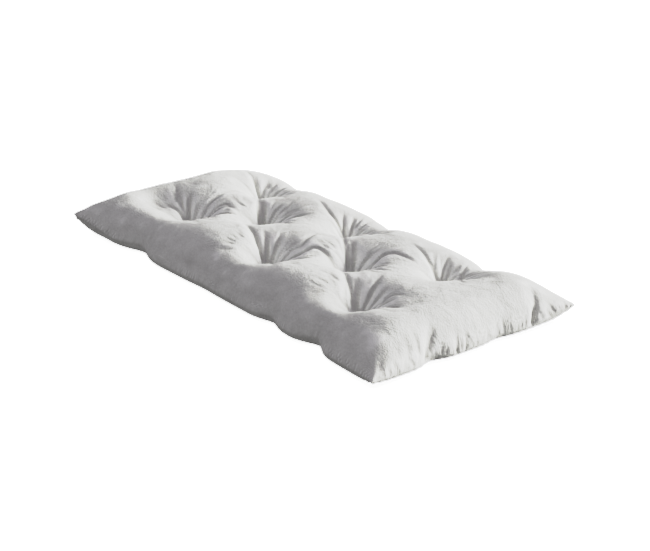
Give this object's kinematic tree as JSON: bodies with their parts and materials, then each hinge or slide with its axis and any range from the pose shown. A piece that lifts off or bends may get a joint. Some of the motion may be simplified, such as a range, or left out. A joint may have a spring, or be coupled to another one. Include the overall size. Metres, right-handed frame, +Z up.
{
  "type": "floor mattress",
  "caption": "Long flat filled floor mattress with a tufted top, drawn-in sides and pointed corners.",
  "frame": {"origin": "on the floor, below the middle of the mattress", "axes": "+X along the length, +Y across the width, +Z up"},
  "size_m": [1.213, 0.6128, 0.1211],
  "materials": {
    "pale_grey_cloth": "matt brushed nap"
  },
  "bodies": {
    "root": {"mattress": "pale_grey_cloth"}
  },
  "joints": []
}
